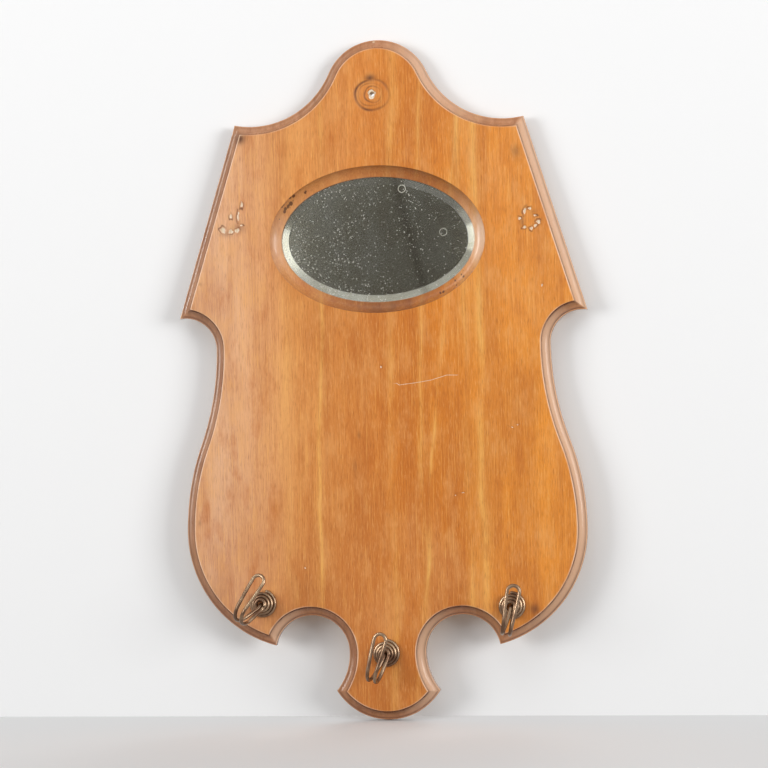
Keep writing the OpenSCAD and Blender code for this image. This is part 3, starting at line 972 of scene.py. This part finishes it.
class Paint(Nodes):
    """A material with one Principled shader, painted by the place on the object."""

    def __init__(self, name, **fixed):
        self.material = bpy.data.materials.new(name)
        self.material.use_nodes = True
        super().__init__(self.material.node_tree)
        self.shader = self.tree.nodes["Principled BSDF"]
        self.surface = self.tree.nodes["Material Output"].inputs["Surface"]
        self.fill(self.shader, **fixed)
        self.place = self.node("TexCoord").outputs["Object"]

    def scaled(self, per_mm, shift=0.0):
        """The place in cells, of which there are per_mm in x, y (depth) and z (height)."""
        scale = [s / MM for s in per_mm]
        location = (shift, shift * 0.7, shift * 1.3)
        n = self.node("Mapping")
        return self.fill(n, Vector=self.place, Location=location, Scale=scale)

    def noise(self, per_mm, detail=2.0, roughness=0.5, shift=0.0, distortion=0.0):
        """Noise with one feature or so to a cell."""
        n = self.node("TexNoise")
        self.fill(n, Vector=self.scaled(per_mm, shift), Scale=1.0)
        self.fill(n, Detail=detail, Roughness=roughness, Distortion=distortion)
        return n.outputs["Fac"]

    def spots(self, per_mm):
        """Distance in cells to the nearest of scattered points, and that point's value."""
        n = self.node("TexVoronoi")
        self.fill(n, Vector=self.scaled(per_mm), Scale=1.0, Randomness=1.0)
        return n.outputs["Distance"], n.outputs["Color"]

    def span(self, value, low, high, to_low=0.0, to_high=1.0):
        """Takes a value between low and high to one between to_low and to_high."""
        n = self.node("MapRange")
        self.fill(n, Value=value, From_Min=low, From_Max=high)
        return self.fill(n, To_Min=to_low, To_Max=to_high)

    def blend(self, factor, a, b):
        n = self.node("Mix", data_type="RGBA")
        self.put(n.inputs[0], factor)
        self.put(n.inputs[6], a)
        self.put(n.inputs[7], b)
        return n.outputs[2]

    def two_tone(self, value, low, high, first, second):
        """One colour where the value is low, the other where it is high."""
        return self.blend(self.span(value, low, high), srgb(*first), srgb(*second))

    def tint(self, tone, value, low, high, strength, colour):
        """Lays a colour over the tone, up to its strength where the value is high."""
        return self.blend(self.span(value, low, high, 0.0, strength), tone, srgb(*colour))

    def ramp(self, value, stops):
        n = self.node("ValToRGB")
        self.put(n.inputs[0], value)
        elements = n.color_ramp.elements
        while len(elements) < len(stops):
            elements.new(0.5)
        for element, (position, colour) in zip(elements, stops):
            element.position = position
            element.color = srgb(*colour)
        return n.outputs[0]

    def carried(self, name):
        """A value that the mesh's points carry."""
        return self.node("Attribute", attribute_name=name).outputs["Fac"]

    def done(self, **values):
        self.fill(self.shader, **values)
        return self.material

    def bump(self, height, depth_mm):
        n = self.node("Bump")
        self.put(self.shader.inputs["Normal"], self.fill(n, Distance=depth_mm * MM, Height=height))

    def axes(self):
        """The place in mm: x across, depth and height."""
        n = self.node("SeparateXYZ")
        self.put(n.inputs[0], self.place)
        return [self.over(n.outputs[i], MM) for i in range(3)]


# Stain across the board, its pale left end partly a painted sheen, and its darker tone low down
STAIN_AND_SHEEN = [(0.0, (240, 190, 150)), (0.25, (230, 154, 82))]
STAIN_AND_SHEEN += [(0.60, (219, 126, 32)), (1.0, (238, 150, 52))]
LOW_STAIN = (180, 102, 46)
# Noises in the wood: cells per mm, octaves, roughness, shift and distortion
GRAIN = {
    "broad": ((0.012, 0.012, 0.006), 3, 0.55, 29),
    "bands": ((0.06, 0.06, 0.0035), 3, 0.55, 1, 0.3),
    "fine": ((0.60, 0.60, 0.018), 4, 0.65, 5),
    "pores": ((1.2, 1.2, 0.09), 3, 0.6, 11),
    "mottle": ((0.055, 0.055, 0.022), 4, 0.65, 17),
    "old": ((0.10, 0.10, 0.03), 4, 0.6, 23),
}
# Tints under and over the light streaks: noise, its values for none and all, strength, colour
UNDER_STREAKS = [
    ("broad", 0.48, 0.70, 0.55, (196, 116, 48)),
    ("broad", 0.46, 0.32, 0.35, (234, 166, 100)),
]
OVER_STREAKS = [
    ("bands", 0.42, 0.68, 0.38, (180, 98, 40)),
    ("fine", 0.48, 0.72, 0.34, (172, 90, 30)),
    ("fine", 0.46, 0.30, 0.45, (244, 180, 94)),
    ("pores", 0.54, 0.70, 0.42, (146, 74, 30)),
    ("pores", 0.44, 0.30, 0.35, (246, 194, 124)),
    ("mottle", 0.50, 0.72, 0.42, (238, 172, 100)),
    ("mottle", 0.46, 0.28, 0.45, (190, 102, 36)),
]
# Light streaks: place across at their height, lean in mm per mm, half width and strength
STREAKS = [
    (-66.5, 0.019, 1.6, 0.8),
    (17, 0.01, 3.5, 0.45),
    (52, 0.004, 1.8, 0.7),
    (76, 0.10, 1.5, 0.7),
    (103, -0.01, 3, 0.5),
    (120, 0.0, 3.5, 0.8),
    (-105, 0.015, 5, 0.3),
]
STREAK_Y = -280


def streaks(paint, x, height):
    """Light from 0 to 1 of the streaks, which sway a little and break off in places."""
    sway = paint.span(paint.noise((0.004, 0.02, 0.004), 2, shift=3), 0.3, 0.7, -9.0, 9.0)
    warped = paint.plus(x, sway)
    above = paint.minus(height, STREAK_Y)
    light = 0.0
    for centre, lean, width, strength in STREAKS:
        off = paint.minus(paint.minus(warped, centre), paint.times(above, lean))
        near = paint.power(paint.over(off, width), 2.0)
        light = paint.plus(light, paint.over(strength, paint.plus(near, 1.0)))
    broken = paint.span(paint.noise((0.02, 0.02, 0.009), 3, shift=8), 0.38, 0.58, 0.25, 1.0)
    return paint.math("MULTIPLY", light, broken, clamp=True)


def stained_wood(name):
    """Stained, varnished wood, grain upright; wear, dirt, painted light and shade as the points say.
    """
    paint = Paint(name, Specular_IOR_Level=0.22, Coat_Weight=0.25, Coat_Roughness=0.14)
    x, depth, height = paint.axes()
    grain = {kind: paint.noise(*spec) for kind, spec in GRAIN.items()}
    fine, old = grain["fine"], grain["old"]

    # The face
    # Stain across the board, with a painted sheen in its pale left end
    tone = paint.ramp(paint.span(x, -180.0, 180.0), STAIN_AND_SHEEN)
    low = paint.span(height, -330.0, -620.0)
    low = paint.times(low, paint.span(x, 60.0, 150.0, 0.5, 0.08))
    tone = paint.blend(low, tone, srgb(*LOW_STAIN))
    for kind, *tint in UNDER_STREAKS:
        tone = paint.tint(tone, grain[kind], *tint)
    tone = paint.blend(streaks(paint, x, height), tone, srgb(248, 186, 96))
    for kind, *tint in OVER_STREAKS:
        tone = paint.tint(tone, grain[kind], *tint)

    # The mouldings, browner, with painted light on their right side, and pitted in places
    moulding = paint.carried("moulding")
    brown = paint.two_tone(old, 0.35, 0.65, (152, 104, 76), (188, 138, 106))
    # Painted light on the moulding's right side
    brown = paint.blend(paint.carried("faded"), brown, srgb(230, 192, 162))
    tone = paint.blend(paint.times(moulding, 0.8), tone, brown)
    pit, chance = paint.spots((0.24, 0.24, 0.19))
    reach = paint.times(paint.carried("pits"), paint.times(chance, 0.72))
    pitted = paint.span(paint.minus(reach, pit), 0.0, 0.06)
    tone = paint.blend(paint.times(pitted, 0.8), tone, srgb(66, 34, 22))

    # Dirt and painted shade, rubbed arrises with painted highlights, and bare wood
    marks = [("dirt", 0.3, 0.55, (84, 46, 34)), ("rubbed", 0.35, 0.4, (252, 216, 184))]
    for layer, start, least, colour in marks:
        strength = paint.times(paint.carried(layer), paint.span(old, start, 0.6, least, 1.0))
        tone = paint.blend(strength, tone, srgb(*colour))
    bare = paint.carried("bare")
    raw = paint.two_tone(fine, 0.4, 0.6, (244, 228, 204), (216, 186, 150))
    tone = paint.blend(paint.span(bare, 0.3, 0.6), tone, raw)

    # The bare back
    behind = paint.span(depth, -0.6, -0.2)
    plain = paint.two_tone(grain["bands"], 0.35, 0.65, (186, 142, 96), (150, 108, 70))
    plain = paint.tint(plain, fine, 0.45, 0.7, 0.5, (112, 76, 46))
    tone = paint.blend(behind, tone, plain)

    gloss = paint.span(grain["mottle"], 0.3, 0.7, 0.30, 0.42)
    gloss = paint.minus(gloss, paint.times(moulding, 0.08))
    gloss = paint.plus(gloss, paint.times(paint.plus(bare, behind), 0.35))
    relief = paint.plus(fine, paint.times(grain["pores"], 0.6))
    paint.bump(paint.minus(relief, paint.times(pitted, 2.5)), 0.10)
    return paint.done(Base_Color=tone, Roughness=gloss)


def backing_wood(name):
    """Raw wood, grain across, stained by age."""
    paint = Paint(name, Specular_IOR_Level=0.3, Roughness=0.75)
    bands = paint.noise((0.02, 0.02, 0.15), 3, 0.55, shift=4)
    tone = paint.two_tone(bands, 0.35, 0.65, (172, 138, 98), (140, 106, 70))
    fine = paint.noise((0.03, 0.5, 0.9), 3, 0.6, shift=9)
    tone = paint.tint(tone, fine, 0.45, 0.72, 0.5, (100, 72, 46))
    stain = paint.noise((0.02, 0.02, 0.02), 4, 0.6, shift=14)
    tone = paint.tint(tone, stain, 0.55, 0.75, 0.5, (84, 60, 42))
    paint.bump(fine, 0.15)
    return paint.done(Base_Color=tone)


def old_iron(name):
    paint = Paint(name, Metallic=0.9)
    rust = paint.noise((0.8, 0.8, 0.8), 4, 0.6, shift=2)
    tone = paint.two_tone(rust, 0.4, 0.62, (118, 112, 108), (96, 58, 38))
    paint.bump(rust, 0.05)
    return paint.done(Base_Color=tone, Roughness=paint.span(rust, 0.35, 0.65, 0.4, 0.75))


def old_wire(name):
    """Bronze-brown wire, rubbed bright in places and dark in others."""
    paint = Paint(name, Metallic=0.9)
    worn = paint.noise((0.07, 0.07, 0.07), 2, 0.5, shift=6)
    tone = paint.two_tone(worn, 0.38, 0.62, (116, 90, 70), (164, 138, 112))
    grime = paint.noise((0.05, 0.05, 0.05), 2, 0.5, shift=12)
    tone = paint.tint(tone, grime, 0.50, 0.70, 0.6, (84, 56, 42))
    return paint.done(Base_Color=tone, Roughness=paint.span(grime, 0.35, 0.65, 0.25, 0.32))


# Small ring marks on the mirror: across, height, radius and strength
SUCKER_PRINTS = [(30.0, -104.4, 4.0, 0.42), (75.2, -153.3, 4.0, 0.26)]
# Foxing spots: cells per mm and the largest radius in cells
FOXING = [(0.50, 0.42), (0.95, 0.62), (0.20, 0.19)]
# Painted dark reflection down the mirror: place across at its height, lean, half width and strength
DARK_REFLECTION_X, DARK_REFLECTION_Y, DARK_REFLECTION_LEAN, DARK_REFLECTION_W, DARK_REFLECTION = 39.0, -160, -0.26, 5.0, 0.55
# Where the painted back starts and where it is full: depths, into the wall positive
PAINT_FROM = -SILVER_LOW.z - 0.2
PAINT_FULL = PAINT_FROM + 0.15


def old_silver(name):
    """Silvering, dulled and full of small pale foxing spots."""
    paint = Paint(name)
    x, depth, height = paint.axes()
    cloud = paint.noise((0.03, 0.03, 0.02), 4, 0.6, shift=3)
    tone = paint.two_tone(cloud, 0.35, 0.7, (226, 224, 214), (206, 200, 182))
    # Painted dark reflection, a streak down the mirror
    off = paint.minus(x, paint.times(paint.minus(height, DARK_REFLECTION_Y), DARK_REFLECTION_LEAN))
    off = paint.power(paint.over(paint.minus(off, DARK_REFLECTION_X), DARK_REFLECTION_W), 2.0)
    tone = paint.blend(paint.over(DARK_REFLECTION, paint.plus(off, 1.0)), tone, srgb(150, 142, 124))

    dense = paint.noise((0.02, 0.02, 0.02), 3, 0.5, shift=7)
    dense = paint.span(dense, 0.3, 0.7, 0.6, 1.3)
    thick = paint.times(dense, paint.span(x, -100.0, 110.0, 1.1, 0.75))
    speck = 0.0
    for per_mm, largest in FOXING:
        spot, chance = paint.spots((per_mm, per_mm, per_mm))
        size = paint.power(chance, 2.2)
        reach = paint.times(paint.times(size, largest), thick)
        speck = paint.greater(speck, paint.span(paint.minus(reach, spot), 0.0, 0.08))
    for cx, cz, r, strength in SUCKER_PRINTS:
        across = paint.power(paint.minus(x, cx), 2.0)
        across = paint.plus(across, paint.power(paint.minus(height, cz), 2.0))
        off = paint.math("ABSOLUTE", paint.minus(paint.math("SQRT", across), r))
        speck = paint.greater(speck, paint.span(off, 0.8, 0.2, 0.0, strength))
    tone = paint.blend(speck, tone, srgb(206, 202, 192))

    behind = paint.span(depth, PAINT_FROM, PAINT_FULL)
    tone = paint.blend(behind, tone, srgb(96, 52, 40))
    haze = paint.span(x, -110.0, 60.0, 0.08, 0.02)
    dull = paint.greater(paint.greater(speck, behind), haze)
    gloss = paint.span(dull, 0.0, 1.0, 0.03, 0.7)
    return paint.done(Base_Color=tone, Metallic=paint.minus(1.0, dull), Roughness=gloss)


def clear_glass(name):
    clear = (0.985, 0.99, 0.98, 1)
    return Paint(name, Base_Color=clear, Transmission_Weight=1.0, IOR=1.5, Roughness=0.0).material


# ---- Dressing --------------------------------------------------------------------------


def dress(obj, node, material):
    obj.data.materials.clear()
    obj.data.materials.append(material)
    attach(obj, "root")
    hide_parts(node)


wood = stained_wood("stained_wood")
wood_left = stained_wood("stained_wood_left")
bronze = old_wire("coppered_wire")

dress(plank("board_left", -1), "plank_left", wood_left)
dress(plank("board_right", 1), "plank_right", wood)
dress(oval_lens(), "mirror_glass", clear_glass("bevelled_glass"))
dress(silver_plate(), "mirror_silvering", old_silver("old_silvering"))
for hook_name, spec in HOOKS.items():
    dress(wire(hook_name + "_wire", spec), hook_name, bronze)
for node_name, material in (
    ("backing_panel", backing_wood("backing_wood")),
    ("backing_brads", old_iron("iron")),
):
    mesh = frame["nodes"][node_name].data
    mesh.materials.clear()
    mesh.materials.append(material)

# ---- Stage: wall, floor, lights and camera ---------------------------------------------

# Half size of wall and floor, how far below the board the floor lies and the wall ends, and
# how far the hole in the wall reaches past the board
STAGE_REACH = 4000
FLOOR_DROP = 1
WALL_DROP = 2
WALL_HOLE = 24
# Distance from the board's back to the wall at its top and bottom
GAP_TOP = 4
GAP_BOTTOM = 30


def stage_material(name, seen, bounced, see_through_back=False):
    """Matt grey, one brightness to the eye and one for the light that it throws back."""
    paint = Paint(name, Roughness=0.9, Specular_IOR_Level=0.0)
    path = paint.node("LightPath")
    greys = [(level, level, level, 1) for level in (seen, bounced)]
    if see_through_back:
        back = paint.node("NewGeometry").outputs["Backfacing"]
        clear = paint.node("BsdfTransparent").outputs[0]
        paint.put(paint.surface, paint.either(back, paint.shader.outputs[0], clear))
    return paint.done(Base_Color=paint.blend(path.outputs["Is Diffuse Ray"], *greys))


def staged(obj, material, *unseen_by):
    """Gives a stage piece its material, and hides it from some kinds of ray."""
    obj.data.materials.append(material)
    for ray in unseen_by:
        setattr(obj, "visible_" + ray, False)


def wall():
    """White wall behind the board, left open behind it so that its back can be seen."""
    shell = Shell()

    def on_wall(p):
        share = (CREST_Y - p.y) / (CREST_Y - BOTTOM_Y)
        return shell.point(p, -mix(GAP_TOP, GAP_BOTTOM, share))

    foot = BOTTOM_Y - WALL_DROP
    sheet = [vec(-STAGE_REACH, foot), vec(STAGE_REACH, foot)]
    sheet += [vec(STAGE_REACH, STAGE_REACH), vec(-STAGE_REACH, STAGE_REACH)]
    shell.sheet([(loop, [on_wall(p) for p in loop]) for loop in (sheet, outline(WALL_HOLE))])
    obj = shell.finish("wall")
    if obj.data.polygons[0].normal.y > 0:
        obj.data.flip_normals()
    staged(obj, stage_material("wall", 0.96, 0.7, see_through_back=True), "shadow", "diffuse")


def floor():
    shell = Shell()
    r, z = STAGE_REACH * MM, (BOTTOM_Y - FLOOR_DROP) * MM
    square = [(-r, -r, z), (r, -r, z), (r, r, z), (-r, r, z)]
    shell.bm.faces.new([shell.bm.verts.new(spot) for spot in square])
    staged(shell.finish("floor"), stage_material("floor", 0.84, 0.25))


# Lamps, with place, size in metres and power, aimed at the middle of the board
MIDDLE = vec(0, 0, -0.3)
LAMPS = {
    "above": ((-0.5, -2.4, 2.6), 2.4, 18),
    "left": ((-4.5, -4.2, 0.2), 3.0, 158),
    "right": ((5.4, -4.2, 0.6), 3.2, 229),
    "behind": ((0.3, 2.4, 0.6), 1.6, 20),
}
# Strength of the light from all round, and of the white that is seen there
AMBIENT = 0.50
WHITE = 1.0


def lamp(name, where, size, power):
    data = bpy.data.lights.new(name, "AREA")
    data.shape = "DISK"
    data.size = size
    data.energy = power
    obj = linked(name, data)
    obj.location = where
    obj.rotation_euler = (MIDDLE - Vector(where)).to_track_quat("-Z", "Y").to_euler()


def world():
    w = bpy.data.worlds.new("studio")
    bpy.context.scene.world = w
    w.use_nodes = True
    nodes = Nodes(w.node_tree)
    w.node_tree.nodes.clear()
    rays = nodes.node("LightPath").outputs
    shiny = nodes.greater(rays["Is Glossy Ray"], rays["Is Transmission Ray"])
    seen = nodes.greater(rays["Is Camera Ray"], shiny)
    skies = []
    for strength in (AMBIENT, WHITE):
        sky = nodes.node("Background")
        skies.append(nodes.fill(sky, Color=(1, 1, 1, 1), Strength=strength))
    out = nodes.node("OutputWorld")
    nodes.put(out.inputs["Surface"], nodes.either(seen, *skies))


# The photograph's viewpoint, from the middle of the board's height on its centre line
YAW, PITCH, ROLL = (radians(a) for a in (-7.749, -0.500, -1.090))
STEP_BACK = vec(0.0002, -2.7692, -0.00494)
LENS = 117.19
SENSOR = 36


def camera():
    """Sets up the camera and gives its place."""
    turn = Matrix.Rotation(ROLL, 3, "Y") @ Matrix.Rotation(PITCH, 3, "X")
    back = (turn @ Matrix.Rotation(YAW, 3, "Z")).transposed()
    centre = place(CENTRE_X, (CREST_Y + BOTTOM_Y) / 2, 0)
    where = centre + back @ STEP_BACK
    data = bpy.data.cameras.new("photo")
    data.lens = LENS
    data.sensor_width = SENSOR
    obj = linked("photo", data)
    level = Matrix.Rotation(pi / 2, 3, "X")
    obj.matrix_world = Matrix.Translation(where) @ (back @ level).to_4x4()
    bpy.context.scene.camera = obj
    return where


# What glossy things see of the room, on a plane far in front: the edges of its fields, in metres
# from the middle of the mirror's view, and their brightness, row by row from below
ROOM_FAR = 8
ROOM_ACROSS = (-14, -7.5, -5, -2, -0.45, 0.45, 2, 5, 7.5, 14)
ROOM_UP = (-3, -0.30, 0.30, 3, 9, 30)
ROOM_LIGHT = (
    (0.10, 0.10, 0.08, 0.16, 0.12, 0.30, 0.08, 0.10, 0.10),
    (0.10, 4.00, 2.50, 1.60, 0.10, 1.10, 0.08, 9.00, 0.10),
    (0.10, 4.00, 2.50, 1.50, 0.52, 0.50, 0.08, 9.00, 0.10),
    (0.10, 4.00, 0.10, 0.10, 0.10, 0.10, 0.10, 9.00, 0.10),
    (0.30, 0.30, 0.30, 0.30, 0.30, 0.30, 0.30, 0.30, 0.30),
)
# Colour of the fields that are dimmer than a brightness, and of the others
DIM = 0.5
DIM_TINT = (1.0, 0.96, 0.87, 1)
BRIGHT_TINT = (0.98, 1.0, 0.97, 1)


def glow(strength):
    paint = Paint("room_%03d" % round(100 * strength))
    lit = paint.node("Emission")
    tint = DIM_TINT if strength < DIM else BRIGHT_TINT
    paint.put(paint.surface, paint.fill(lit, Color=tint, Strength=strength))
    return paint.material


def room(eye):
    """The dim room and its bright fields, seen only in gloss and in the mirror."""
    middle = place(MIRROR_X, MIRROR_Y, SILVER_HIGH.z)
    image = vec(eye.x, 2 * middle.y - eye.y, eye.z)
    ray = (middle - image).normalized()
    centre = middle + ray * ROOM_FAR
    side = vec(0, 0, 1).cross(ray).normalized()
    rise = ray.cross(side)
    bm = bmesh.new()
    levels = sorted({level for row in ROOM_LIGHT for level in row})
    for row, low, high in zip(ROOM_LIGHT, ROOM_UP, ROOM_UP[1:]):
        for level, left, right in zip(row, ROOM_ACROSS, ROOM_ACROSS[1:]):
            spots = [(left, low), (right, low), (right, high), (left, high)]
            field = bm.faces.new([bm.verts.new(centre - side * a + rise * b) for a, b in spots])
            field.material_index = levels.index(level)
    obj = linked("room", mesh_of(bm, "room"))
    for level in levels[:-1]:
        obj.data.materials.append(glow(level))
    staged(obj, glow(levels[-1]), "camera", "diffuse", "shadow")


wall()
floor()
world()
for lamp_name, lamp_spec in LAMPS.items():
    lamp(lamp_name, *lamp_spec)
room(camera())
bpy.context.scene.view_settings.view_transform = "Standard"
